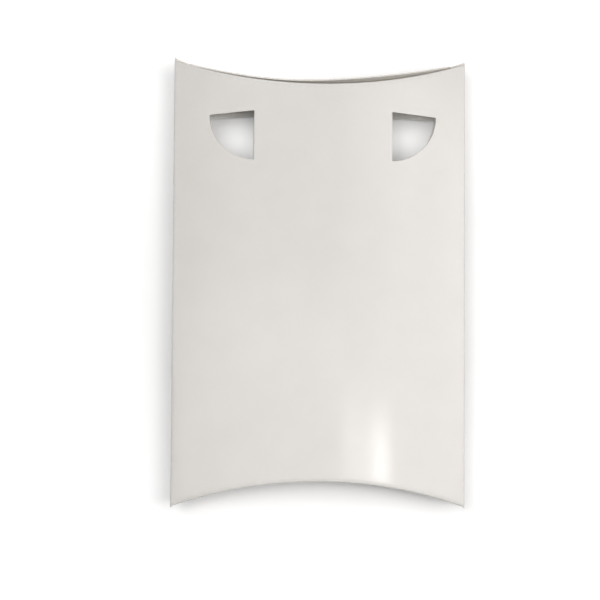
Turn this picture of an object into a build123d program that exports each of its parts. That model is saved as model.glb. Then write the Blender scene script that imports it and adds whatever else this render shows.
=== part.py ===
"""Pillow box: a small carton of glossy white board with two arched panels and curved end flaps.

Millimetres. +Z is up, the front panel faces up and the box lies on the crown of its back panel.
+Y points to the end with the windows, called the top end, and X runs across the box.
The origin is the middle of the box in plan, at the height of the crown that it lies on.
"""
import os
from math import asin, cos, degrees, radians, sin, sqrt

from build123d import *

# Overall sizes of the closed box
box_length = 130.0
box_width = 85.0
panel_rise = 8.0
board = 0.4

# Creases and folds
crease_leg = 1.0
crease_radius = 0.6
crease_gap = 0.4
flap_clearance = 0.35
fold_reach = 2.5

# End flaps
flap_end_inset = 4.5
free_edge_clearance = 1.1
inner_flap_share = 0.62

# Glued side seam
glue = 0.1
seam_setback = 0.3
glue_flap_width = 7.5
glue_flap_end_inset = 5.0
glue_flap_taper = 5.0
glue_line_width = 3.5
glue_line_inset = 2.0

# Windows, a quarter-round pair near the top end
window_width = 13.0
window_height = 14.4
window_drop = 1.1
window_side_margin = 9.6
window_shift = 0.7
window_from_end = 16.0
window_corner_radius = 0.3
window_arc_shares = (0.74, 0.69)

# One length by which every cutting or trimming body runs past what it trims
overrun = 5.0

# Side of a piece or of a panel, and end of the box, as signs
FRONT, BACK = 1, -1
TOP, BOTTOM = 1, -1

# Worked-out values of the cross-section: both panels are round arches of one radius
middle = panel_rise
half_width = box_width / 2
seam_stack = glue + board
chord_height = panel_rise - board - seam_stack / 2
inner_radius = ((half_width - board) ** 2 + chord_height**2) / (2 * chord_height)
outer_radius = inner_radius + board
centre_drop = outer_radius - panel_rise

# The glue flap's inner face and the back panel's inner face meet at the seam fold
glue_flap_outer = inner_radius - glue
glue_flap_inner = glue_flap_outer - board
seam_z = (glue_flap_inner**2 - inner_radius**2) / (4 * centre_drop)
seam_x = sqrt(inner_radius**2 - (centre_drop - seam_z) ** 2)
tip_x = seam_x + board

# The plain fold is rounded so that it reaches as far out as the seam fold
fold_radius = (outer_radius**2 - centre_drop**2 - tip_x**2) / (2 * (outer_radius - tip_x))
fold_centre_x = tip_x - fold_radius
fold_angle = degrees(asin(fold_centre_x / (outer_radius - fold_radius)))

# Half the distance between the windows, each of which keeps its margin from the side
window_half_gap = half_width - window_side_margin - window_width

# Angles about an arch's centre line, from the crown, where its pieces end
side_angle = degrees(asin((tip_x - fold_reach) / outer_radius))
seam_lower_angle = degrees(asin(seam_x / inner_radius))
seam_upper_angle = degrees(asin(seam_x / glue_flap_inner))
front_edge_angle = degrees(asin((tip_x - seam_setback) / outer_radius))
glue_flap_angle = degrees(asin((tip_x - glue_flap_width) / outer_radius))
end_band_angle = degrees(asin((tip_x + overrun) / outer_radius))


def arch_height(x, radius=outer_radius):
    """Height of an arch's face over the middle plane, x from the crown."""
    return sqrt(radius**2 - x**2) - centre_drop


# Where the middle plane meets the crease plane that carries a flap: the outer flap's crease
# puts the box's corners at half its length, and the inner flap's lies one board further in
outer_reach = box_length / 2 + arch_height(tip_x)
flap_step = board + flap_clearance
inner_reach = outer_reach - flap_step

# At the top end the back panel carries the outer flap, at the bottom end the front panel does
carrier_of_outer = {TOP: BACK, BOTTOM: FRONT}
end_names = {TOP: "top", BOTTOM: "bottom"}


def reach_of(side, end):
    """Reach of the crease plane on one panel at one end."""
    return outer_reach if carrier_of_outer[end] == side else inner_reach


def polar(centre, radius, angle):
    """A point at an angle from the vertical, clockwise, about a centre."""
    return (centre[0] + radius * sin(radians(angle)), centre[1] + radius * cos(radians(angle)))


def band(centre, outer, inner, from_angle, to_angle):
    """Outline between two arcs of one centre. Angles are clockwise from the vertical."""
    angles = (from_angle, (from_angle + to_angle) / 2, to_angle)
    with BuildLine() as outline:
        far = ThreePointArc(*[polar(centre, outer, angle) for angle in angles])
        near = ThreePointArc(*[polar(centre, inner, angle) for angle in angles])
        Line(far @ 0, near @ 0)
        Line(far @ 1, near @ 1)
    return outline.edges()


def arch_band(side, outer, inner, from_angle, to_angle):
    """Band of a panel's arch in the cross-section, angles from its crown, positive to +X."""
    centre = (0, middle - side * centre_drop)
    if side == FRONT:
        return band(centre, outer, inner, from_angle, to_angle)
    return band(centre, outer, inner, 180 - from_angle, 180 - to_angle)


def end_band(end, reach, from_depth, to_depth):
    """Band in plan that follows an end's drawn-in arc, between two depths behind its face."""
    centre = (0, end * (reach + centre_drop))
    turn = 180 if end == TOP else 0
    outer, inner = outer_radius + to_depth, outer_radius + from_depth
    return band(centre, outer, inner, turn - end_band_angle, turn + end_band_angle)


def footprint(top_reach, bottom_reach, depth, left, right):
    """Outline in plan, one depth behind the two drawn-in ends, from one x to another."""
    places = (left, (left + right) / 2, right)
    draw_in = [arch_height(x, outer_radius + depth) for x in places]
    with BuildLine() as outline:
        top = ThreePointArc(*[(x, top_reach - d) for x, d in zip(places, draw_in)])
        bottom = ThreePointArc(*[(x, d - bottom_reach) for x, d in zip(places, draw_in)])
        Line(top @ 0, bottom @ 0)
        Line(top @ 1, bottom @ 1)
    return outline.edges()


def window_outline(hand):
    """One window in plan: a square corner at the inner top and a round outer bottom."""
    inner_x = window_shift + hand * window_half_gap
    top_y = box_length / 2 - window_from_end
    corner = (inner_x, top_y)
    tip = (inner_x + hand * window_width, top_y - window_drop)
    foot = (inner_x, top_y - window_height)
    wide_share, tall_share = window_arc_shares
    belly = (inner_x + hand * wide_share * window_width, top_y - tall_share * window_height)
    with BuildLine() as outline:
        Line(corner, tip)
        ThreePointArc(tip, belly, foot)
        Line(foot, corner)
    return outline.edges()


def lens(end_x, root_z, free_z):
    """Outline of a flap seen end on, between its root arc and its free edge."""
    with BuildLine() as outline:
        root = ThreePointArc(*zip((-end_x, 0, end_x), root_z))
        free = ThreePointArc(*zip((-end_x, 0, end_x), free_z))
        Line(root @ 0, free @ 0)
        Line(root @ 1, free @ 1)
    return outline.edges()


def finish(piece, name):
    """Label a finished piece and write its STEP file."""
    piece.part.label = name
    export_step(piece.part, f"parts/{name}.step")


os.makedirs("parts", exist_ok=True)
half_run = box_length / 2 + overrun
half_height = panel_rise + overrun


def make_panel(name, side, right_angle):
    """An arched panel that stops where its end creases begin, with both windows through it."""
    with BuildPart() as panel:
        with BuildSketch(Plane.XZ):
            make_face(arch_band(side, outer_radius, inner_radius, -side_angle, right_angle))
        extrude(amount=half_run, both=True)
        with BuildSketch(Plane.XY.offset(middle)):
            reaches = (reach_of(side, TOP), reach_of(side, BOTTOM))
            make_face(footprint(*reaches, crease_leg, -half_width, half_width))
        extrude(amount=half_height, both=True, mode=Mode.INTERSECT)
        with BuildSketch(Plane.XY.offset(middle)) as windows:
            for hand in (-1, 1):
                make_face(window_outline(hand))
            fillet(windows.vertices(), window_corner_radius)
        extrude(amount=half_height, both=True, mode=Mode.SUBTRACT)
    finish(panel, name)


make_panel("front_panel", FRONT, front_edge_angle)
make_panel("back_panel", BACK, side_angle)

# Left side: the scored fold that joins the two panels, rounded at its tip
with BuildPart() as left_fold:
    with BuildSketch(Plane.XZ):
        for side in (FRONT, BACK):
            make_face(arch_band(side, outer_radius, inner_radius, -fold_angle, -side_angle))
        fold_centre = (-fold_centre_x, middle)
        make_face(band(fold_centre, fold_radius, fold_radius - board, -180 + fold_angle, -fold_angle))
    extrude(amount=half_run, both=True)
    with BuildSketch(Plane.XY.offset(middle)):
        make_face(footprint(outer_reach, outer_reach, 0, -half_width - overrun, 0))
    extrude(amount=half_height, both=True, mode=Mode.INTERSECT)
finish(left_fold, "left_fold")

# Right side: the back panel's board turns in under the front panel as the glue flap
with BuildPart() as seam_fold:
    with BuildSketch(Plane.XZ):
        make_face(arch_band(FRONT, glue_flap_outer, glue_flap_inner, side_angle, seam_upper_angle))
        make_face(arch_band(BACK, outer_radius, inner_radius, side_angle, seam_lower_angle))
        with BuildLine():
            seam_centre = (seam_x, middle + seam_z)
            turns = (seam_upper_angle, 90, 180 - seam_lower_angle)
            upper, tip, lower = [polar(seam_centre, board, turn) for turn in turns]
            ThreePointArc(upper, tip, lower)
            Line(lower, seam_centre)
            Line(seam_centre, upper)
        make_face()
    extrude(amount=half_run, both=True)
    with BuildSketch(Plane.XY.offset(middle)):
        make_face(footprint(outer_reach, outer_reach, 0, 0, half_width + overrun))
    extrude(amount=half_height, both=True, mode=Mode.INTERSECT)
finish(seam_fold, "seam_fold")

# The rest of the glue flap, with its ends tapered to clear the end flaps
fold_side_x = tip_x - fold_reach
glue_flap_half_length = outer_reach - arch_height(fold_side_x) - glue_flap_end_inset
with BuildPart() as glue_flap:
    with BuildSketch(Plane.XZ):
        make_face(arch_band(FRONT, glue_flap_outer, glue_flap_inner, glue_flap_angle, side_angle))
    extrude(amount=half_run, both=True)
    with BuildSketch(Plane.XY.offset(middle)):
        with BuildLine():
            near_x, far_x = fold_side_x + overrun, tip_x - glue_flap_width - overrun
            slope = glue_flap_taper / (glue_flap_width - fold_reach)
            near_y = glue_flap_half_length + slope * overrun
            far_y = glue_flap_half_length - glue_flap_taper - slope * overrun
            Polyline((near_x, near_y), (far_x, far_y), (far_x, -far_y), (near_x, -near_y), close=True)
        make_face()
    extrude(amount=half_height, both=True, mode=Mode.INTERSECT)
finish(glue_flap, "glue_flap")

# The line of glue between the glue flap and the front panel
glue_from = degrees(asin((tip_x - fold_reach - glue_line_inset / 2 - glue_line_width) / outer_radius))
glue_to = degrees(asin((tip_x - fold_reach - glue_line_inset / 2) / outer_radius))
with BuildPart() as glue_line:
    with BuildSketch(Plane.XZ):
        make_face(arch_band(FRONT, inner_radius, glue_flap_outer, glue_from, glue_to))
    extrude(amount=glue_flap_half_length - glue_flap_taper - glue_line_inset, both=True)
finish(glue_line, "glue_line")


def make_crease(name, side, end):
    """The bend between a panel and its flap: an angle strip that follows the curved crease."""
    reach = reach_of(side, end)
    hollow_bottom = outer_radius - crease_leg - overrun
    wide = end_band_angle
    with BuildPart() as hollow:
        with BuildSketch(Plane.XZ):
            make_face(arch_band(side, inner_radius, hollow_bottom, -wide, wide))
        extrude(amount=half_run, both=True)
        with BuildSketch(Plane.XY.offset(middle)):
            make_face(end_band(end, reach, board, crease_leg + overrun))
        extrude(amount=half_height, both=True, mode=Mode.INTERSECT)
    with BuildPart() as crease:
        with BuildSketch(Plane.XZ):
            make_face(arch_band(side, outer_radius, outer_radius - crease_leg, -side_angle, side_angle))
        extrude(amount=half_run, both=True)
        with BuildSketch(Plane.XY.offset(middle)):
            make_face(end_band(end, reach, 0, crease_leg))
        extrude(amount=half_height, both=True, mode=Mode.INTERSECT)
        long_edges = crease.edges().sort_by(SortBy.LENGTH)[-4:]
        bend = long_edges.sort_by(lambda e: end * e.center().Y + side * e.center().Z)[-1]
        fillet(bend, crease_radius)
        add(hollow.part, mode=Mode.SUBTRACT)
    finish(crease, name)


def make_flap(name, side, end, outer):
    """A closed end flap: an upright sheet that follows the drawn-in end, cut to a lens."""
    reach = reach_of(side, end)
    end_x = tip_x - flap_end_inset
    root_radius = outer_radius - crease_leg - crease_gap
    root_z = [middle + side * arch_height(x, root_radius) for x in (-end_x, 0, end_x)]
    if outer:
        free_radius = outer_radius - free_edge_clearance
        free_z = [middle - side * arch_height(x, free_radius) for x in (-end_x, 0, end_x)]
    else:
        fall_share = 1 - 2 * inner_flap_share
        free_z = [middle + side * fall_share * arch_height(x) for x in (-end_x, 0, end_x)]
    with BuildPart() as flap:
        with BuildSketch(Plane.XY.offset(middle)):
            make_face(end_band(end, reach, 0, board))
        extrude(amount=half_height, both=True)
        with BuildSketch(Plane.XZ):
            make_face(lens(end_x, root_z, free_z))
        extrude(amount=half_run, both=True, mode=Mode.INTERSECT)
    finish(flap, name)


for end, end_name in end_names.items():
    for side in (FRONT, BACK):
        outer = carrier_of_outer[end] == side
        layer = "outer" if outer else "inner"
        make_crease(f"{end_name}_{layer}_crease", side, end)
        make_flap(f"{end_name}_{layer}_flap", side, end, outer)

print("outer face radius", round(outer_radius, 3), "half width", round(tip_x, 3))
print("fold radius", round(fold_radius, 3), "reach", round(outer_reach, 3), round(inner_reach, 3))
for end in (TOP, BOTTOM):
    for side in (FRONT, BACK):
        hinge_y = end * (reach_of(side, end) - panel_rise)
        print("crown crease", end_names[end], side, "y", round(hinge_y, 3))
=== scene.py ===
"""Pillow box of glossy white board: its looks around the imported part.

Lengths in the shape functions are millimetres, in the part's own frame, and a mesh is
written in metres. +Z is up out of the front panel, +Y runs to the end with the windows.
Materials and the floor's pattern are in metres, as their nodes read them.
"""

import bpy
import numpy as np
from mathutils import Matrix, Vector
from mathutils.geometry import delaunay_2d_cdt


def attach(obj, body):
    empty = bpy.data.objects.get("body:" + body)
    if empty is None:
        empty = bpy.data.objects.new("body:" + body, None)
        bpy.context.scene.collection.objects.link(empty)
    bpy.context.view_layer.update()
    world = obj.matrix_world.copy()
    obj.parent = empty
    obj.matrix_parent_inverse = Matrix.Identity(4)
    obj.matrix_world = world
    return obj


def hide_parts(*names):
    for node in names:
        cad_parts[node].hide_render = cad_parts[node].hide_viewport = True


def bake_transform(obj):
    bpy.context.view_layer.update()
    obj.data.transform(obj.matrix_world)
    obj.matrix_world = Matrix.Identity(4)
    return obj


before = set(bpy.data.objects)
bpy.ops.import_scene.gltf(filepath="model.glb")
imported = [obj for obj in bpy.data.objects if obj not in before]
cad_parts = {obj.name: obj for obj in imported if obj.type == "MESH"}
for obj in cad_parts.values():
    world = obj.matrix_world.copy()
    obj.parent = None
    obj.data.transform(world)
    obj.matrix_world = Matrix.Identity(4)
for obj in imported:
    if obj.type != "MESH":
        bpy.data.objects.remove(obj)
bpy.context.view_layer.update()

MM = 0.001

# Sizes of the closed box, the same as the part's
box_length = 130.0
box_width = 85.0
panel_rise = 8.0
board = 0.4
crease_radius = 0.6
crease_leg = 1.0
fold_reach = 2.5
flap_clearance = 0.35
flap_end_inset = 4.5
free_edge_clearance = 1.1
inner_flap_share = 0.62
glue = 0.1
seam_setback = 0.3
glue_flap_width = 7.5
glue_flap_end_inset = 5.0
glue_flap_taper = 5.0
glue_line_width = 3.5
glue_line_inset = 2.0
window_width = 13.0
window_height = 14.4
window_drop = 1.1
window_side_margin = 9.6
window_shift = 0.7
window_from_end = 16.0
window_corner_radius = 0.3
window_arc_shares = (0.74, 0.69)

# Finer forms that only the scene has. A crease's leg and bend shrink with the arch at the
# sides, a raw edge bulges by a share of the board, and a score leaves a dent and a bead.
leg_share = 0.78
bend_share = 0.72
edge_bulge = 0.12
panel_edge_bulge = 0.14
glue_edge_bulge = 0.2
score_dent = 0.03
score_bead = 0.09
seam_fold_inside = 0.03
seam_corner_cut = 0.9
flap_corner = 1.1
least_flap = 0.3
glue_band_share = 0.94
glue_off_board = 0.004

# Wear of the coating from 0 to 1, and the millimetres over which it fades from a rim or score
fold_wear, hidden_wear = 0.55, 0.1
panel_wear_fade, window_wear_gap = 0.7, 0.3
flap_wear, flap_wear_fade = 0.6, 0.5
least_crease_wear, crease_wear_fade = 0.25, 0.45

# How far a flap springs out at its free edge, where across the box, and over what width. The
# two ends of an outer flap tuck in.
ajar = {"top_outer": (0.95, 16.0, 22.0), "bottom_outer": (0.12, -6.0, 26.0),
        "top_inner": (0.0, 0.0, 20.0), "bottom_inner": (0.0, 0.0, 20.0)}
tucked_ends = 0.26

# The bend of an opening flap: its slope, where it starts, and the length that it takes
turn_of = {"top_outer": (0.4, -3.0, 19.0), "bottom_outer": (0.4, -3.0, 16.0),
           "top_inner": (0.4, -3.0, 12.0), "bottom_inner": (0.4, -3.0, 12.0)}

# Fineness of the meshes: steps, and counts of points across the box, along it or in a section
across_step = 0.5
rim_rows, rows_along = 56, 68
window_arc_points, window_top_points, window_side_points, corner_points = 56, 12, 13, 6
fold_points, seam_bend_points, seam_leg_points, glue_flap_points = 21, 17, 8, 13
glue_band_columns, glue_band_rows = 9, 120
crease_bend_points, crease_leg_points = 11, 6
flap_columns, flap_rows = 145, 31

# A panel's grid keeps clear of its ends and windows. Points nearer than a hair are on a line.
grid_reach, grid_rows = 62, 63
end_gap, window_gap = 0.4, 0.45
hair, same_point, least_area = 1e-3, 1e-5, 1e-7

FRONT, BACK = 1, -1
TOP, BOTTOM = 1, -1

middle = panel_rise
half_width = box_width / 2
chord_height = panel_rise - board - (glue + board) / 2
inner_radius = ((half_width - board) ** 2 + chord_height**2) / (2 * chord_height)
outer_radius = inner_radius + board
centre_drop = outer_radius - panel_rise
glue_flap_outer = inner_radius - glue
glue_flap_inner = glue_flap_outer - board
seam_z = (glue_flap_inner**2 - inner_radius**2) / (4 * centre_drop)
seam_x = np.sqrt(inner_radius**2 - (centre_drop - seam_z) ** 2)
tip_x = seam_x + board
fold_radius = (outer_radius**2 - centre_drop**2 - tip_x**2) / (2 * (outer_radius - tip_x))
fold_centre_x = tip_x - fold_radius
fold_angle = np.arcsin(fold_centre_x / (outer_radius - fold_radius))
fold_start_x = outer_radius * np.sin(fold_angle)


def arch(x, radius=outer_radius):
    """Height of an arch over the middle plane: a circle of the radius, less the centre's drop."""
    return np.sqrt(radius**2 - np.asarray(x, float) ** 2) - centre_drop


outer_reach = box_length / 2 + float(arch(tip_x))
inner_reach = outer_reach - board - flap_clearance
carrier_of_outer = {TOP: BACK, BOTTOM: FRONT}
end_names = {TOP: "top", BOTTOM: "bottom"}
folded_ends = [(end, side, "outer" if carrier_of_outer[end] == side else "inner")
               for end in (TOP, BOTTOM) for side in (FRONT, BACK)]


def reach_of(side, end):
    """Reach of the crease of one panel at one end."""
    return outer_reach if carrier_of_outer[end] == side else inner_reach


def leg_at(x):
    """Length of a crease's leg: full over most of the width, then in step with the arch."""
    return np.minimum(crease_leg, leg_share * arch(x))


def smooth(t):
    """A step from 0 to 1 with level ends, 3 t squared less 2 t cubed."""
    t = np.clip(t, 0, 1)
    return t * t * (3 - 2 * t)


# Meshes

OUTSIDE, INSIDE, CUT = 0, 1, 2


def write_mesh(name, points, faces, kinds, materials, loop_normals=None):
    """One mesh object in metres from arrays of corners, faces and each face's finish.

    Edges between two finishes and open edges are sharp, so a raw edge doesn't shade into a
    face."""
    mesh = bpy.data.meshes.new(name)
    mesh.from_pydata((np.asarray(points) * MM).tolist(), [], [list(f) for f in faces])
    for material in materials:
        mesh.materials.append(material)
    mesh.polygons.foreach_set("material_index", np.asarray(kinds, np.int32))
    mesh.polygons.foreach_set("use_smooth", np.ones(len(faces), bool))
    mesh.update()
    edge_of_loop = np.zeros(len(mesh.loops), np.int32)
    mesh.loops.foreach_get("edge_index", edge_of_loop)
    sizes = np.zeros(len(mesh.polygons), np.int32)
    mesh.polygons.foreach_get("loop_total", sizes)
    kind_of_loop = np.repeat(np.asarray(kinds, np.int32), sizes)
    low = np.full(len(mesh.edges), CUT + 1, np.int32)
    high = np.full(len(mesh.edges), -1, np.int32)
    np.minimum.at(low, edge_of_loop, kind_of_loop)
    np.maximum.at(high, edge_of_loop, kind_of_loop)
    sharp = mesh.attributes.new("sharp_edge", "BOOLEAN", "EDGE")
    alone = np.bincount(edge_of_loop, minlength=len(mesh.edges)) == 1
    sharp.data.foreach_set("value", (low != high) | alone)
    if loop_normals is not None:
        mesh.normals_split_custom_set([tuple(n) for n in loop_normals])
    piece = bpy.data.objects.new(name, mesh)
    bpy.context.scene.collection.objects.link(piece)
    return piece


def add_attribute(piece, name, values):
    """One number per corner of a piece's mesh, for its materials to read."""
    layer = piece.data.attributes.new(name, "FLOAT", "POINT")
    layer.data.foreach_set("value", np.asarray(values, np.float32).ravel())


def sheet_from_grids(name, top, bottom, materials, wear=None, round_share=edge_bulge):
    """A closed sheet of board between two grids of points, the outer face and the inner face.

    The raw edge all round has rows between the faces, pushed out by a shallow arc."""
    rows, columns = top.shape[:2]
    count = rows * columns
    index = np.arange(count).reshape(rows, columns)
    ring = np.concatenate([index[0, :], index[1:, -1], index[-1, -2::-1], index[-2:0:-1, 0]])
    flat_top, flat_bottom = top.reshape(-1, 3), bottom.reshape(-1, 3)
    # at the ring, outward is away from the neighbour one step inside
    step_rows = np.clip(np.arange(rows), 1, rows - 2)
    step_columns = np.clip(np.arange(columns), 1, columns - 2)
    inside = index[np.ix_(step_rows, step_columns)].reshape(-1)
    outward = flat_top - flat_top[inside]
    length = np.linalg.norm(outward, axis=1, keepdims=True)
    outward = np.where(length > 0, outward / np.maximum(length, 1e-9), 0)
    shares = np.array([0.2, 0.5, 0.8])
    bulge = round_share * board * np.sqrt(1 - (2 * shares - 1) ** 2)
    walls = [flat_top[ring] * (1 - s) + flat_bottom[ring] * s + outward[ring] * b
             for s, b in zip(shares, bulge)]
    points = np.concatenate([flat_top, flat_bottom, *walls])
    a, b = index[:-1, :-1].ravel(), index[:-1, 1:].ravel()
    c, d = index[1:, 1:].ravel(), index[1:, :-1].ravel()
    quads = [np.stack([a, d, c, b], 1), np.stack([a, b, c, d], 1) + count]
    length_of_ring = len(ring)
    levels = [ring]
    for i in range(len(shares)):
        levels.append(2 * count + i * length_of_ring + np.arange(length_of_ring))
    levels.append(ring + count)
    for upper, lower in zip(levels[:-1], levels[1:]):
        quads.append(np.stack([upper, np.roll(upper, -1), np.roll(lower, -1), lower], 1))
    finishes = (OUTSIDE, INSIDE, *[CUT] * (len(levels) - 1))
    kinds = np.concatenate([np.full(len(q), finish) for q, finish in zip(quads, finishes)])
    faces = np.concatenate(quads)
    # the outer face has to look away from the inner one
    first = flat_top[faces[0]]
    normal = np.cross(first[1] - first[0], first[2] - first[1])
    if np.dot(normal, flat_top[faces[0, 0]] - flat_bottom[faces[0, 0]]) < 0:
        faces = faces[:, ::-1]
    piece = write_mesh(name, points, faces, kinds, materials)
    if wear is not None:
        worn = np.concatenate([wear.ravel(), wear.ravel(), *[wear.ravel()[ring]] * len(shares)])
        add_attribute(piece, "wear", worn)
    return piece


def sheet_from_face(name, face, outward, materials, wear):
    """A sheet of board from its outer face alone, with a Solidify modifier for its thickness.

    The thickness is laid on over the face's final shape, so it stays the same all over."""
    rows, columns = face.shape[:2]
    index = np.arange(rows * columns).reshape(rows, columns)
    quads = np.stack([index[:-1, :-1].ravel(), index[:-1, 1:].ravel(),
                      index[1:, 1:].ravel(), index[1:, :-1].ravel()], 1)
    points = face.reshape(-1, 3)
    a, b, c = points[quads[0, :3]]
    if np.dot(np.cross(b - a, c - b), outward) < 0:
        quads = quads[:, ::-1]
    piece = write_mesh(name, points, quads, np.full(len(quads), OUTSIDE), materials)
    add_attribute(piece, "wear", wear)
    thickness = piece.modifiers.new("board", "SOLIDIFY")
    thickness.thickness = board * MM
    thickness.offset = -1
    thickness.material_offset = INSIDE
    thickness.material_offset_rim = CUT
    return piece


# Panels

def lines_in_plan(side, x):
    """The two end lines of a panel's own board in plan: the crease's corner less its leg."""
    tops = reach_of(side, TOP) - arch(x) - leg_at(x)
    bottoms = -(reach_of(side, BOTTOM) - arch(x) - leg_at(x))
    return tops, bottoms


def arc_through(first, middle_point, last, count):
    """Points along the circle through three points, from the first to the last."""
    (ax, ay), (bx, by), (cx, cy) = first, middle_point, last
    double = 2 * (ax * (by - cy) + bx * (cy - ay) + cx * (ay - by))
    squares = np.array([ax**2 + ay**2, bx**2 + by**2, cx**2 + cy**2])
    ux = np.dot(squares, [by - cy, cy - ay, ay - by]) / double
    uy = np.dot(squares, [cx - bx, ax - cx, bx - ax]) / double
    angles = np.unwrap([np.arctan2(y - uy, x - ux) for x, y in (first, middle_point, last)])
    turn = np.linspace(angles[0], angles[2], count)
    radius = np.hypot(ax - ux, ay - uy)
    return np.stack([ux + radius * np.cos(turn), uy + radius * np.sin(turn)], 1)


def round_corner(before, corner, after, radius):
    """A corner cut back by the radius along both sides and joined by a quadratic curve."""
    before, corner, after = (np.array(p, float) for p in (before, corner, after))
    start = corner + radius * (before - corner) / np.linalg.norm(before - corner)
    stop = corner + radius * (after - corner) / np.linalg.norm(after - corner)
    t = np.linspace(0, 1, corner_points)[:, None]
    return (1 - t) ** 2 * start + 2 * t * (1 - t) * corner + t**2 * stop


def window_points(hand):
    """One window's outline in plan: a square inner top corner and a round outer bottom."""
    inner_x = window_shift + hand * (half_width - window_side_margin - window_width)
    top_y = box_length / 2 - window_from_end
    corner = (inner_x, top_y)
    tip = (inner_x + hand * window_width, top_y - window_drop)
    foot = (inner_x, top_y - window_height)
    wide_share, tall_share = window_arc_shares
    belly = (inner_x + hand * wide_share * window_width, top_y - tall_share * window_height)
    cut = window_corner_radius
    clear = cut * 1.3
    inside = [p for p in arc_through(tip, belly, foot, window_arc_points)
              if np.hypot(*(p - tip)) > clear and np.hypot(*(p - foot)) > clear]
    edge_top = np.linspace(corner, tip, window_top_points)[1:-1]
    edge_side = np.linspace(foot, corner, window_side_points)[1:-1]
    outline = np.concatenate([round_corner(foot, corner, tip, cut), edge_top,
                              round_corner(corner, tip, inside[0], cut), np.array(inside),
                              round_corner(inside[-1], foot, corner, cut), edge_side])
    return outline if hand < 0 else outline[::-1]


def inside_outline(points, outline):
    """True for each point inside a closed outline, by the count of sides it crosses."""
    x, y = points[:, 0][:, None], points[:, 1][:, None]
    x0, y0 = outline[:, 0][None], outline[:, 1][None]
    x1, y1 = np.roll(outline[:, 0], -1)[None], np.roll(outline[:, 1], -1)[None]
    spans = (y0 > y) != (y1 > y)
    rise = np.where(y1 == y0, 1e-12, y1 - y0)
    return (np.sum(spans & (x < x0 + (y - y0) * (x1 - x0) / rise), axis=1) % 2) == 1


def nearest(points, outline):
    """Distance from each point to the nearest corner of an outline."""
    return np.sqrt(((points[:, None] - outline[None]) ** 2).sum(2)).min(1)


def across_of(side):
    """The x places shared by a panel and its creases, from the left fold to the right side."""
    right = tip_x - seam_setback if side == FRONT else outer_radius * seam_x / inner_radius
    return np.linspace(-fold_start_x, right, int(2 * right / across_step) + 2)


def normal_at(x, side):
    """A panel's outward normal: away from its arch's centre line."""
    lean = np.asarray(x) / outer_radius
    return np.stack([lean, np.zeros_like(lean), side * np.sqrt(1 - lean**2)], -1)


def panel_rim(x, tops, bottoms):
    """A panel's rim in plan: along the bottom end, up the right side, back and down."""
    right_places = np.linspace(bottoms[-1], tops[-1], rim_rows)[1:-1]
    left_places = np.linspace(tops[0], bottoms[0], rim_rows)[1:-1]
    return np.concatenate([np.stack([x, bottoms], 1),
                           np.stack([np.full(len(right_places), x[-1]), right_places], 1),
                           np.stack([x, tops], 1)[::-1],
                           np.stack([np.full(len(left_places), x[0]), left_places], 1)])


def panel_plan(x, tops, bottoms, windows):
    """A panel's board in plan, as points and triangles.

    The rim and the windows' outlines are sides of triangles, and an even grid fills the board
    between them."""
    rim = panel_rim(x, tops, bottoms)
    grid_y = np.linspace(-grid_reach, grid_reach, grid_rows)
    grid = np.stack(np.meshgrid(x[1:-1:2], grid_y, indexing="ij"), -1).reshape(-1, 2)
    keep = grid[:, 1] < np.interp(grid[:, 0], x, tops) - end_gap
    keep &= grid[:, 1] > np.interp(grid[:, 0], x, bottoms) + end_gap
    grid = grid[keep]
    for outline in windows:
        near = nearest(grid, outline) < window_gap
        grid = grid[~(near | inside_outline(grid, outline))]
    loops = [rim, *windows]
    edges, offset = [], 0
    for loop in loops:
        ids = offset + np.arange(len(loop))
        edges += np.stack([ids, np.roll(ids, -1)], 1).tolist()
        offset += len(loop)
    points = [Vector(p) for p in np.concatenate([*loops, grid]).tolist()]
    made = delaunay_2d_cdt(points, edges, [], 0, same_point)
    plan = np.array([tuple(v) for v in made[0]])
    faces = np.array(made[2])
    centres = plan[faces].mean(1)
    shown = inside_outline(centres, rim)
    for outline in windows:
        shown &= ~inside_outline(centres, outline)
    faces = faces[shown]
    a, b, c = (plan[faces[:, i]] for i in range(3))
    area = (b[:, 0] - a[:, 0]) * (c[:, 1] - a[:, 1]) - (b[:, 1] - a[:, 1]) * (c[:, 0] - a[:, 0])
    faces = np.where(area[:, None] < 0, faces[:, ::-1], faces)[np.abs(area) > least_area]
    used, faces = np.unique(faces, return_inverse=True)
    return plan[used], faces.reshape(-1, 3)


def open_sides(plan, faces):
    """The sides that only one triangle has, and each point's way out of the board there."""
    count = len(plan)
    sides = np.concatenate([faces[:, [0, 1]], faces[:, [1, 2]], faces[:, [2, 0]]])
    keys = sides[:, 0].astype(np.int64) * count + sides[:, 1]
    backward = sides[:, 1].astype(np.int64) * count + sides[:, 0]
    alone = sides[~np.isin(keys, backward)]
    along = plan[alone[:, 1]] - plan[alone[:, 0]]
    out = np.stack([along[:, 1], -along[:, 0]], 1)
    out /= np.linalg.norm(out, axis=1, keepdims=True)
    outward = np.zeros((count, 3))
    np.add.at(outward[:, :2], alone[:, 0], out)
    np.add.at(outward[:, :2], alone[:, 1], out)
    outward /= np.maximum(np.linalg.norm(outward, axis=1, keepdims=True), 1e-9)
    return alone, outward


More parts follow.
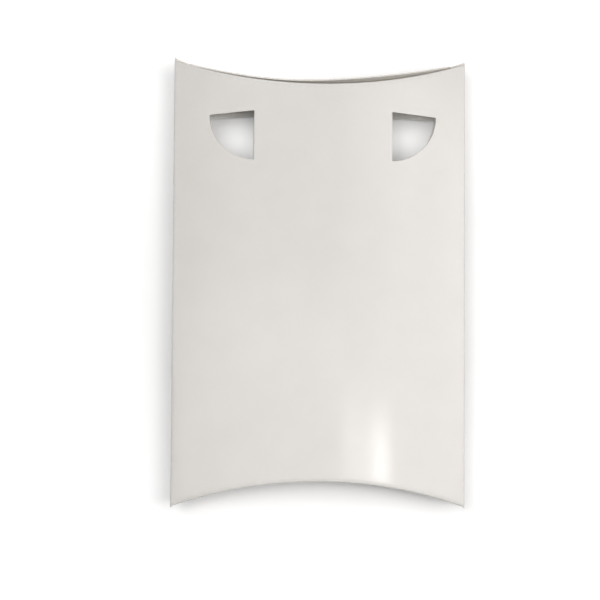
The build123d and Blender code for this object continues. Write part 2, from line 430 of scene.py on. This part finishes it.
def make_panel(name, side, materials):
    """An arched sheet: z is the middle plane plus or minus the arch's height at x.

    Its plan is cut by the two end lines and by both windows. A raw edge bulges by a shallow
    arc, and stays flat where a crease or a fold joins it."""
    x = across_of(side)
    tops, bottoms = lines_in_plan(side, x)
    windows = [window_points(-1), window_points(1)]
    plan, faces = panel_plan(x, tops, bottoms, windows)
    count = len(plan)
    rim_sides, outward = open_sides(plan, faces)
    edge_ids = np.unique(rim_sides)
    place = np.full(count, -1)
    place[edge_ids] = np.arange(len(edge_ids))
    top_here = np.interp(plan[:, 0], x, tops)
    bottom_here = np.interp(plan[:, 0], x, bottoms)
    joined = (plan[:, 1] > top_here - hair) | (plan[:, 1] < bottom_here + hair)
    joined |= plan[:, 0] < x[0] + hair
    if side == BACK:
        joined |= plan[:, 0] > x[-1] - hair
    bulge = np.where(joined, 0, panel_edge_bulge * board)
    upper = np.stack([plan[:, 0], plan[:, 1], middle + side * arch(plan[:, 0])], 1)
    normal = normal_at(plan[:, 0], side)
    lower = upper - board * normal
    # rows between the two faces, and how far the shading at each row leans to a face
    shares = np.array([0.15, 0.45, 0.8])
    leans = (0.9, 0.5, 0.1, -0.5, -0.9)
    walls = [upper[edge_ids] - s * board * normal[edge_ids]
             + outward[edge_ids] * (bulge[edge_ids] * np.sqrt(1 - (2 * s - 1) ** 2))[:, None]
             for s in shares]
    points = np.concatenate([upper, lower, *walls])
    levels = [edge_ids, *[2 * count + i * len(edge_ids) + np.arange(len(edge_ids))
                          for i in range(len(shares))], edge_ids + count]
    all_faces = [*faces.tolist(), *(faces[:, ::-1] + count).tolist()]
    kinds = [np.full(len(faces), OUTSIDE), np.full(len(faces), INSIDE)]
    normals = [normal[faces.ravel()], -normal[faces[:, ::-1].ravel()]]
    first, second = place[rim_sides[:, 0]], place[rim_sides[:, 1]]
    for i in range(len(levels) - 1):
        quads = np.stack([levels[i][first], levels[i + 1][first],
                          levels[i + 1][second], levels[i][second]], 1)
        lean = np.array([leans[i], leans[i + 1], leans[i + 1], leans[i]])
        corners = rim_sides[:, [0, 0, 1, 1]]
        shading = outward[corners] + lean[None, :, None] * normal[corners]
        shading /= np.linalg.norm(shading, axis=2, keepdims=True)
        normals.append(shading.reshape(-1, 3))
        all_faces += quads.tolist()
        kinds.append(np.full(len(quads), CUT))
    normals = np.concatenate(normals)
    if side == BACK:
        # the back panel looks down, so every face and its normals run the other way round
        all_faces = [f[::-1] for f in all_faces]
        sizes = np.array([len(f) for f in all_faces])
        starts = np.concatenate([[0], np.cumsum(sizes)[:-1]])
        order = np.concatenate([np.arange(s + n - 1, s - 1, -1) for s, n in zip(starts, sizes)])
        normals = normals[order]
    piece = write_mesh(name, points, all_faces, np.concatenate(kinds), materials, normals)
    to_rim = np.minimum(top_here - plan[:, 1], plan[:, 1] - bottom_here)
    to_rim = np.minimum(to_rim, np.minimum(plan[:, 0] - x[0], x[-1] - plan[:, 0]))
    for outline in windows:
        to_rim = np.minimum(to_rim, nearest(plan, outline) + window_wear_gap)
    wear = np.exp(-np.maximum(to_rim, 0) / panel_wear_fade)
    add_attribute(piece, "wear", np.concatenate([wear, wear, *[wear[edge_ids]] * len(shares)]))
    return piece


# Folds, glue flap and creases

def end_reaches(end, share):
    """Reach of the blank's corner at one end, from the back panel's (0) to the front's (1)."""
    back, front = reach_of(BACK, end), reach_of(FRONT, end)
    return back + (front - back) * smooth(share)


def along_box(section, inner_section, top_y, bottom_y, count):
    """Two grids of points: a section in X and Z carried along Y between two end lines."""
    v = np.linspace(0, 1, count)[None, :]
    y = bottom_y[:, None] * (1 - v) + top_y[:, None] * v
    grids = []
    for points in (section, inner_section):
        x = np.broadcast_to(points[:, 0][:, None], y.shape)
        z = np.broadcast_to(points[:, 1][:, None], y.shape)
        grids.append(np.stack([x, y, z], -1))
    return grids


def make_left_fold(materials):
    """The left fold: an arc about the fold's centre, tangent to both panels, along Y."""
    turn = np.linspace(-np.pi + fold_angle, -fold_angle, fold_points)
    spoke = np.stack([np.sin(turn), np.cos(turn)], 1)
    centre = np.array([-fold_centre_x, middle])
    section = centre + fold_radius * spoke
    inner = centre + (fold_radius - board) * spoke
    share = (turn - turn[0]) / (turn[-1] - turn[0])
    off = np.abs(section[:, 1] - middle)
    top_y = end_reaches(TOP, share) - off
    bottom_y = -(end_reaches(BOTTOM, share) - off)
    grids = along_box(section, inner, top_y, bottom_y, rows_along)
    wear = np.full(grids[0].shape[:2], fold_wear)
    return sheet_from_grids("left_fold_strip", *grids, materials, wear)


def glue_flap_end(x):
    """Half the glue flap's length at x: it tapers in from the fold by one slope."""
    full = outer_reach - float(arch(tip_x - fold_reach)) - glue_flap_end_inset
    slope = glue_flap_taper / (glue_flap_width - fold_reach)
    return full - slope * (tip_x - fold_reach - x)


def make_seam_fold(materials):
    """The right fold: an arc about the seam's corner, then the start of the glue flap."""
    lower = np.arcsin(seam_x / inner_radius)
    upper = np.arcsin(seam_x / glue_flap_inner)
    turn = np.linspace(np.pi - lower, upper, seam_bend_points)
    spoke = np.stack([np.sin(turn), np.cos(turn)], 1)
    centre = np.array([seam_x, middle + seam_z])
    bend, bend_inner = centre + board * spoke, centre + seam_fold_inside * spoke
    leg_end = np.arcsin((tip_x - fold_reach) / outer_radius)
    lean = np.linspace(upper, leg_end, seam_leg_points)[1:]
    ray = np.stack([np.sin(lean), np.cos(lean)], 1)
    low = np.array([0, middle - centre_drop])
    section = np.concatenate([bend, low + glue_flap_outer * ray])
    inner = np.concatenate([bend_inner, low + glue_flap_inner * ray])
    share = np.clip((turn[0] - turn) / (turn[0] - turn[-1]), 0, 1)
    off = np.abs(bend[:, 1] - middle)
    full = glue_flap_end(tip_x - fold_reach)
    ends = []
    for end in (TOP, BOTTOM):
        at_bend = end_reaches(end, share) - off - seam_corner_cut * smooth(share * 2 - 1)
        rest = at_bend[-1] + (full - at_bend[-1]) * np.linspace(0, 1, seam_leg_points)[1:]
        ends.append(end * np.concatenate([at_bend, rest]))
    grids = along_box(section, inner, *ends, rows_along)
    wear = np.concatenate([np.full(len(bend), fold_wear), np.full(len(ray), hidden_wear)])
    wear = np.broadcast_to(wear[:, None], grids[0].shape[:2])
    return sheet_from_grids("seam_fold_strip", *grids, materials, wear)


def make_glue_flap(materials):
    """The glue flap: a strip of arch inside the front panel, its ends tapered in plan."""
    x = np.linspace(tip_x - fold_reach, tip_x - glue_flap_width, glue_flap_points)
    lean = x / outer_radius
    ray = np.stack([lean, np.sqrt(1 - lean**2)], 1)
    low = np.array([0, middle - centre_drop])
    ends = glue_flap_end(x)
    grids = along_box(low + glue_flap_outer * ray, low + glue_flap_inner * ray, ends, -ends,
                      rows_along)
    return sheet_from_grids("glue_flap_sheet", *grids, materials, np.zeros(grids[0].shape[:2]))


def make_glue_line(material):
    """The dried glue: a band between two arches whose sides swell and shrink in two waves.

    Both ends are rounded over their last part, and it stays a hair off the board."""
    v = np.linspace(-1, 1, glue_band_rows)[None, :]
    s = np.linspace(-1, 1, glue_band_columns)[:, None]
    length = glue_flap_end(tip_x - fold_reach) - glue_flap_taper - glue_line_inset
    swell = 1 - 0.1 * np.sin(9 * v) ** 2 - 0.06 * np.sin(23 * v + 1)
    tip = 0.015
    into_tip = np.clip((np.abs(v) - (1 - tip)) / tip, 0, 1)
    round_end = np.sqrt(np.clip(1 - into_tip**2, 0.02, 1))
    x_middle = tip_x - fold_reach - glue_line_inset / 2 - glue_line_width / 2
    x = x_middle + s * glue_line_width / 2 * glue_band_share * swell * round_end
    lean = x / outer_radius
    rise = np.sqrt(1 - lean**2)
    y = np.broadcast_to(v * length, x.shape)
    grids = []
    for radius in (inner_radius - glue_off_board, glue_flap_outer + glue_off_board):
        grids.append(np.stack([radius * lean, y, middle - centre_drop + radius * rise], -1))
    return sheet_from_grids("glue_band", *grids, [material] * 3, round_share=glue_edge_bulge)


def make_crease(name, side, end, materials):
    """The bend between a panel and its flap, at each x a leg, a quarter circle and a leg.

    Beside the bend the outer face has the shallow dents of the score, and the inner face has
    the raised bead that the score leaves. Both are squared sines along the section."""
    x = across_of(side)
    rise = arch(x)
    leg = leg_at(x)
    bend = np.minimum(crease_radius, bend_share * leg)
    turn = np.linspace(0, np.pi / 2, crease_bend_points)[:, None]
    along_leg = np.linspace(0, 1, crease_leg_points)[:, None]
    first, last = along_leg[:-1], along_leg[1:]
    flat_first, flat_last = np.zeros_like(first), np.zeros_like(last)
    run = np.concatenate([leg + (bend - leg) * first, bend * (1 - np.sin(turn)),
                          flat_last * leg])
    drop = np.concatenate([flat_first * leg, bend * (1 - np.cos(turn)),
                           bend + (leg - bend) * last])
    angle = np.concatenate([flat_first, turn, flat_last + np.pi / 2])[..., None]
    dent = np.concatenate([score_dent * np.sin(np.pi * first) ** 2, np.zeros_like(turn),
                           score_dent * np.sin(np.pi * last) ** 2])[..., None]
    bead = np.concatenate([flat_first, score_bead * np.sin(2 * turn) ** 2, flat_last])[..., None]
    lean = x / outer_radius
    level = np.sqrt(1 - lean**2)
    panel_normal = normal_at(x, side)[None]
    flap_normal = np.stack([-lean, end * level, np.zeros_like(x)], -1)[None]
    normal = np.cos(angle) * panel_normal + np.sin(angle) * flap_normal
    normal = normal / np.linalg.norm(normal, axis=2, keepdims=True)
    corner = np.stack([np.broadcast_to(x, run.shape), end * (reach_of(side, end) - rise - run),
                       middle + side * (rise - drop)], -1)
    top = corner - dent * normal
    # at the sides the board is thinned in the bend, so its inner face doesn't cross itself
    thin = np.minimum(board, bend * 0.95)[None, :, None]
    depth = board + (thin - board) * np.sin(2 * angle) ** 2
    bottom = corner - (depth + bead) * normal
    fading = np.exp(-((np.minimum(run + drop, leg) / crease_wear_fade) ** 2))
    wear = fading * (1 - least_crease_wear) + least_crease_wear
    return sheet_from_grids(name, top, bottom, materials, wear)


# End flaps

def make_flap(name, side, end, layer, materials):
    """An upright sheet on the drawn-in end's arc, from its crease to its free edge.

    The outer face is at the crease's reach less the arch's height. The free edge is an arc,
    with its two corners rounded. An outer flap springs out by a bell curve across the box,
    times the cube of the way down to its free edge, and its two ends tuck in."""
    end_x = tip_x - flap_end_inset
    # columns are drawn a little closer towards both ends
    u = np.linspace(-1, 1, flap_columns)
    x = end_x * (u + 0.08 * np.sin(np.pi * u) / np.pi)
    rise = arch(x)
    root = leg_at(x)
    if layer == "outer":
        free = rise + arch(x, outer_radius - free_edge_clearance)
    else:
        free = 2 * inner_flap_share * rise
    into_corner = np.clip((np.abs(x) - end_x + flap_corner) / flap_corner, 0, 1)
    free = free - flap_corner * (1 - np.sqrt(1 - into_corner**2 * 0.995))
    free = np.maximum(free, root + least_flap)
    t = np.linspace(0, 1, flap_rows)[:, None]
    depth = root * (1 - t) + free * t
    amount, place, spread = ajar[f"{end_names[end]}_{layer}"]
    spring = amount * np.exp(-(((x - place) / spread) ** 2)) * t**3
    if layer == "outer":
        spring = spring - tucked_ends * np.abs(x / end_x) ** 6 * t
    lean = x / outer_radius
    level = np.sqrt(1 - lean**2)
    normal = np.stack([-lean, end * level, np.zeros_like(x)], -1)[None]
    face = np.stack([np.broadcast_to(x, depth.shape),
                     np.broadcast_to(end * (reach_of(side, end) - rise), depth.shape),
                     middle + side * (rise - depth)], -1) + spring[..., None] * normal
    wear = np.exp(-(free - depth) / flap_wear_fade) * flap_wear
    return sheet_from_face(name, face, normal[0, 0], materials, wear)


def bend_flap(piece, body, side, end, slope, before, length):
    """Bake a flap's placement into its mesh.

    `body`, `slope`, `before` and `length` are not used."""
    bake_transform(piece)


# Materials

def new_material(name, roughness, specular=0.5, through=0.3):
    """A node material with its shader, and the numbers that are the same all over."""
    material = bpy.data.materials.new(name)
    material.use_nodes = True
    shader = material.node_tree.nodes["Principled BSDF"]
    shader.inputs["Roughness"].default_value = roughness
    shader.inputs["Specular IOR Level"].default_value = specular
    shader.inputs["Subsurface Weight"].default_value = through
    shader.inputs["Subsurface Radius"].default_value = (1, 0.95, 0.88)
    shader.inputs["Subsurface Scale"].default_value = 0.0006
    return material, material.node_tree, shader


def noise(tree, coordinates, scale, detail=3.0, stretch=(1, 1, 1)):
    """A noise pattern on the object's own coordinates, stretched along an axis."""
    mapping = tree.nodes.new("ShaderNodeMapping")
    mapping.inputs["Scale"].default_value = stretch
    tree.links.new(coordinates, mapping.inputs["Vector"])
    texture = tree.nodes.new("ShaderNodeTexNoise")
    texture.inputs["Scale"].default_value = scale
    texture.inputs["Detail"].default_value = detail
    tree.links.new(mapping.outputs["Vector"], texture.inputs["Vector"])
    return texture.outputs["Fac"]


def map_range(tree, value, low, high, to_low, to_high):
    """A value carried from one range to another."""
    node = tree.nodes.new("ShaderNodeMapRange")
    sockets = ("From Min", "From Max", "To Min", "To Max")
    for socket, number in zip(sockets, (low, high, to_low, to_high)):
        node.inputs[socket].default_value = number
    tree.links.new(value, node.inputs["Value"])
    return node.outputs["Result"]


def arithmetic(tree, operation, *values):
    """One step of arithmetic on numbers and on other nodes' outputs."""
    step = tree.nodes.new("ShaderNodeMath")
    step.operation = operation
    for socket, value in zip(step.inputs, values):
        if isinstance(value, float):
            socket.default_value = value
        else:
            tree.links.new(value, socket)
    return step.outputs[0]


def mix_colour(tree, factor, first, second):
    """A mix of two colours, each a colour or another node's output."""
    node = tree.nodes.new("ShaderNodeMix")
    node.data_type = "RGBA"
    tree.links.new(factor, node.inputs[0])
    for socket, value in ((node.inputs[6], first), (node.inputs[7], second)):
        if isinstance(value, tuple):
            socket.default_value = (*value, 1)
        else:
            tree.links.new(value, socket)
    return node.outputs[2]


def bump(tree, height, distance, strength, before=None):
    """A bump from a height pattern, on top of an earlier one."""
    node = tree.nodes.new("ShaderNodeBump")
    node.inputs["Strength"].default_value = strength
    node.inputs["Distance"].default_value = distance
    tree.links.new(height, node.inputs["Height"])
    if before is not None:
        tree.links.new(before, node.inputs["Normal"])
    return node.outputs["Normal"]


def own_coordinates(tree):
    """The object's own coordinates in metres, on which every pattern lies."""
    return tree.nodes.new("ShaderNodeTexCoord").outputs["Object"]


def wear_of(tree):
    """The wear that was written to the mesh: 1 at a raw edge or score, 0 on the plain board."""
    node = tree.nodes.new("ShaderNodeAttribute")
    node.attribute_name = "wear"
    return node.outputs["Fac"]


def coated_face():
    """The glossy coated side: faint cloudiness, a fine pebble in the gloss, dulled folds."""
    material, tree, shader = new_material("coated_board_face", 0.2)
    place = own_coordinates(tree)
    wear = wear_of(tree)
    clouds = noise(tree, place, 90, 4)
    colour = mix_colour(tree, map_range(tree, clouds, 0.3, 0.7, 0, 1),
                        (0.667, 0.642, 0.614), (0.686, 0.663, 0.637))
    specks = map_range(tree, noise(tree, place, 2600, 2), 0.7, 0.82, 0, 0.35)
    colour = mix_colour(tree, specks, colour, (0.615, 0.586, 0.552))
    scuffs = map_range(tree, noise(tree, place, 900, 5), 0.35, 0.75, 0, 1)
    scuffed = arithmetic(tree, "MULTIPLY", wear, scuffs)
    paleness = map_range(tree, scuffed, 0, 1, 0, 0.3)
    colour = mix_colour(tree, paleness, colour, (0.775, 0.76, 0.745))
    tree.links.new(colour, shader.inputs["Base Color"])
    gloss = map_range(tree, noise(tree, place, 140, 4), 0.25, 0.75, 0.15, 0.18)
    tree.links.new(arithmetic(tree, "MULTIPLY_ADD", scuffed, 0.16, gloss),
                   shader.inputs["Roughness"])
    waves = bump(tree, noise(tree, place, 60, 1, (1.5, 0.12, 1.5)), 0.00012, 0.5)
    pebble = bump(tree, noise(tree, place, 1700, 2), 0.00001, 0.35, waves)
    tree.links.new(pebble, shader.inputs["Normal"])
    return material


def uncoated_face():
    """The matt inside: short fibres that lie along the board's grain."""
    material, tree, shader = new_material("uncoated_board_face", 0.85, 0.25)
    place = own_coordinates(tree)
    fibres = noise(tree, place, 1500, 4, (1, 0.22, 1))
    colour = mix_colour(tree, map_range(tree, fibres, 0.3, 0.7, 0, 1),
                        (0.78, 0.755, 0.715), (0.86, 0.84, 0.805))
    clouds = map_range(tree, noise(tree, place, 70, 3), 0.35, 0.65, 0, 0.5)
    colour = mix_colour(tree, clouds, colour, (0.84, 0.815, 0.77))
    tree.links.new(colour, shader.inputs["Base Color"])
    tree.links.new(bump(tree, fibres, 0.00004, 0.5), shader.inputs["Normal"])
    return material


def cut_edge():
    """The raw edge of the board: its layers of fibre, warmer than the faces."""
    material, tree, shader = new_material("cut_board_edge", 0.9, 0.2)
    place = own_coordinates(tree)
    layers = noise(tree, place, 2400, 3)
    colour = mix_colour(tree, map_range(tree, layers, 0.3, 0.7, 0, 1),
                        (0.66, 0.625, 0.575), (0.82, 0.795, 0.755))
    tree.links.new(colour, shader.inputs["Base Color"])
    tree.links.new(bump(tree, layers, 0.00006, 0.6), shader.inputs["Normal"])
    return material


def dried_glue():
    """Dried white glue: a little glossy, with small ripples."""
    material, tree, shader = new_material("dried_glue", 0.45, 0.4)
    place = own_coordinates(tree)
    ripples = noise(tree, place, 500, 2)
    colour = mix_colour(tree, ripples, (0.84, 0.81, 0.73), (0.90, 0.88, 0.81))
    tree.links.new(colour, shader.inputs["Base Color"])
    tree.links.new(bump(tree, ripples, 0.00008, 0.5), shader.inputs["Normal"])
    return material


board_finish = [coated_face(), uncoated_face(), cut_edge()]
glue_finish = dried_glue()

# The box

standing = {}
standing["front_panel"] = make_panel("front_panel_sheet", FRONT, board_finish)
standing["back_panel"] = make_panel("back_panel_sheet", BACK, board_finish)
standing["left_fold"] = make_left_fold(board_finish)
standing["seam_fold"] = make_seam_fold(board_finish)
standing["glue_flap"] = make_glue_flap(board_finish)
standing["glue_line"] = make_glue_line(glue_finish)
for end, side, layer in folded_ends:
    node = f"{end_names[end]}_{layer}_crease"
    standing[node] = make_crease(f"{node}_bend", side, end, board_finish)
for node, piece in standing.items():
    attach(piece, "sleeve")
    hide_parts(node)

for end, side, layer in folded_ends:
    body = f"{end_names[end]}_{layer}"
    node = f"{body}_flap"
    flap = make_flap(f"{node}_sheet", side, end, layer, board_finish)
    bend_flap(flap, body, side, end, *turn_of[body])
    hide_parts(node)

# Floor, light and camera


def ray_in_sight(tree):
    """1 for a camera, glossy or transmission ray, which sees the background, else 0."""
    path = tree.nodes.new("ShaderNodeLightPath")
    seen = path.outputs["Is Camera Ray"]
    for kind in ("Is Glossy Ray", "Is Transmission Ray"):
        seen = arithmetic(tree, "MAXIMUM", seen, path.outputs[kind])
    return seen


def vector_step(tree, operation, vector, other=(0, 0, 0)):
    """One step of vector arithmetic on a pattern's coordinates."""
    step = tree.nodes.new("ShaderNodeVectorMath")
    step.operation = operation
    tree.links.new(vector, step.inputs[0])
    step.inputs[1].default_value = other
    return step.outputs["Value" if operation == "LENGTH" else "Vector"]


def make_floor():
    """A pale floor that keeps the box's shadow.

    Where it is in sight it grows plain white further away, and a painted pool of light glows on
    it under the middle of each window, seen only by the camera and reflections. The distance from
    the nearer window's middle is found by folding the floor over the line halfway between the
    two."""
    half_size, under_box = 4.0, -0.00005
    halfway, window_middle = (0.002, 0.043, 0), (0.0248, 0, 0)
    # two distances and the glow at each: the plain white backdrop far off, and a painted pool of
    # light under each window's middle
    glow_far, painted_window_light = (0.05, 0.4, 0.04, 1), (0.001, 0.0075, 0.2, 0)
    mesh = bpy.data.meshes.new("floor")
    corners = [(x * half_size, y * half_size, under_box)
               for x, y in ((-1, -1), (1, -1), (1, 1), (-1, 1))]
    mesh.from_pydata(corners, [], [(0, 1, 2, 3)])
    material = bpy.data.materials.new("floor_white")
    material.use_nodes = True
    tree = material.node_tree
    shader = tree.nodes["Principled BSDF"]
    shader.inputs["Base Color"].default_value = (0.97, 0.97, 0.97, 1)
    shader.inputs["Roughness"].default_value = 1.0
    shader.inputs["Specular IOR Level"].default_value = 0.0
    place = own_coordinates(tree)
    far = map_range(tree, vector_step(tree, "LENGTH", place), *glow_far)
    # painted light on the floor under each window, brightest in its middle
    folded = vector_step(tree, "ABSOLUTE", vector_step(tree, "SUBTRACT", place, halfway))
    off_window = vector_step(tree, "SUBTRACT", folded, window_middle)
    in_window = map_range(tree, vector_step(tree, "LENGTH", off_window), *painted_window_light)
    # the backdrop's white plus the painted window light, for camera and reflection rays only
    white = arithmetic(tree, "ADD", far, in_window)
    glow = tree.nodes.new("ShaderNodeEmission")
    tree.links.new(arithmetic(tree, "MULTIPLY", ray_in_sight(tree), white),
                   glow.inputs["Strength"])
    both = tree.nodes.new("ShaderNodeAddShader")
    tree.links.new(shader.outputs[0], both.inputs[0])
    tree.links.new(glow.outputs[0], both.inputs[1])
    tree.links.new(both.outputs[0], tree.nodes["Material Output"].inputs["Surface"])
    mesh.materials.append(material)
    floor = bpy.data.objects.new("floor", mesh)
    bpy.context.scene.collection.objects.link(floor)


def area_lamp(name, place, target, width, height, power, colour=(1, 1, 1)):
    """A rectangular lamp at a place in millimetres, turned to face a target."""
    lamp = bpy.data.lights.new(name, "AREA")
    lamp.shape = "RECTANGLE"
    lamp.size, lamp.size_y = width * MM, height * MM
    lamp.energy = power
    lamp.color = colour
    holder = bpy.data.objects.new(name, lamp)
    bpy.context.scene.collection.objects.link(holder)
    holder.location = Vector(place) * MM
    look = Vector(target) * MM - holder.location
    holder.rotation_euler = look.to_track_quat("-Z", "Y").to_euler()
    return holder


def set_world(level):
    """Even light from all round, and plain white where the camera or a reflection sees it."""
    world = bpy.data.worlds.new("studio")
    bpy.context.scene.world = world
    world.use_nodes = True
    tree = world.node_tree
    background = tree.nodes["Background"]
    background.inputs["Color"].default_value = (1, 1, 1, 1)
    strength = map_range(tree, ray_in_sight(tree), 0, 1, level, 1)
    tree.links.new(strength, background.inputs["Strength"])


def set_lamps():
    """Three banks light the board softly, and cards give its gloss something to reflect.

    The banks stay out of reflections. The cards on the right grow brighter outwards, so the
    arch's right side is the paler one, and two small lamps make the streak near its end."""
    bank_height, bank_width, card_height = 640, 277, 600
    strip_y, strip_depth = 35, 330
    warm_white = (1, 0.985, 0.965)
    streak = (18, -43, 15)
    for name, x, y, depth, power in (("left_bank", -277, 180, 400, 1.67),
                                     ("overhead", 0, 60, 200, 0.66),
                                     ("right_bank", 277, 260, 200, 0.6)):
        bank = area_lamp(name, (x, y, bank_height), (x, y, 0), bank_width, depth, power)
        bank.visible_glossy = False
    area_lamp("front_card", (-165, -60, card_height), (-165, -60, 0), 730, 200, 0.8)
    for strip, (x, width, power) in enumerate(((180, 100, 0.15), (280, 100, 0.23),
                                               (440, 220, 0.61), (700, 300, 1.16))):
        area_lamp(f"right_card_{strip}", (x, strip_y, card_height), (x, strip_y, 0), width,
                  strip_depth, power, warm_white)
    area_lamp("low_card", (455, -80, card_height), (455, -80, 0), 350, 150, 0.4, warm_white)
    area_lamp("edge_light", (0, -430, 380), (0, -40, 0), 400, 24, 0.12, warm_white)
    area_lamp("glint", (226, -70, 560), streak, 26, 50, 0.07)
    area_lamp("glint_edge", (180, -70, 560), streak, 60, 150, 0.11)


def set_camera():
    """The photograph's view from above, through a long lens.

    It looks straight down, turned a little about its own X, then Y, then Z."""
    lens_in_pixels, frame_in_pixels = 1901.4, 600
    turns = ((0.0614, "X"), (-0.0406, "Y"), (0.0087, "Z"))
    place = Vector((-27.86, -39.08, 557.66))
    camera = bpy.data.cameras.new("camera")
    camera.sensor_width = 36
    camera.lens = lens_in_pixels * camera.sensor_width / frame_in_pixels
    camera.clip_start = 0.01
    stance = Matrix.Translation(place * MM)
    for angle, axis in turns:
        stance = stance @ Matrix.Rotation(angle, 4, axis)
    holder = bpy.data.objects.new("camera", camera)
    bpy.context.scene.collection.objects.link(holder)
    holder.matrix_world = stance
    bpy.context.scene.camera = holder


make_floor()
set_world(level=0.05)
set_lamps()
set_camera()
bpy.context.scene.view_settings.view_transform = "Standard"
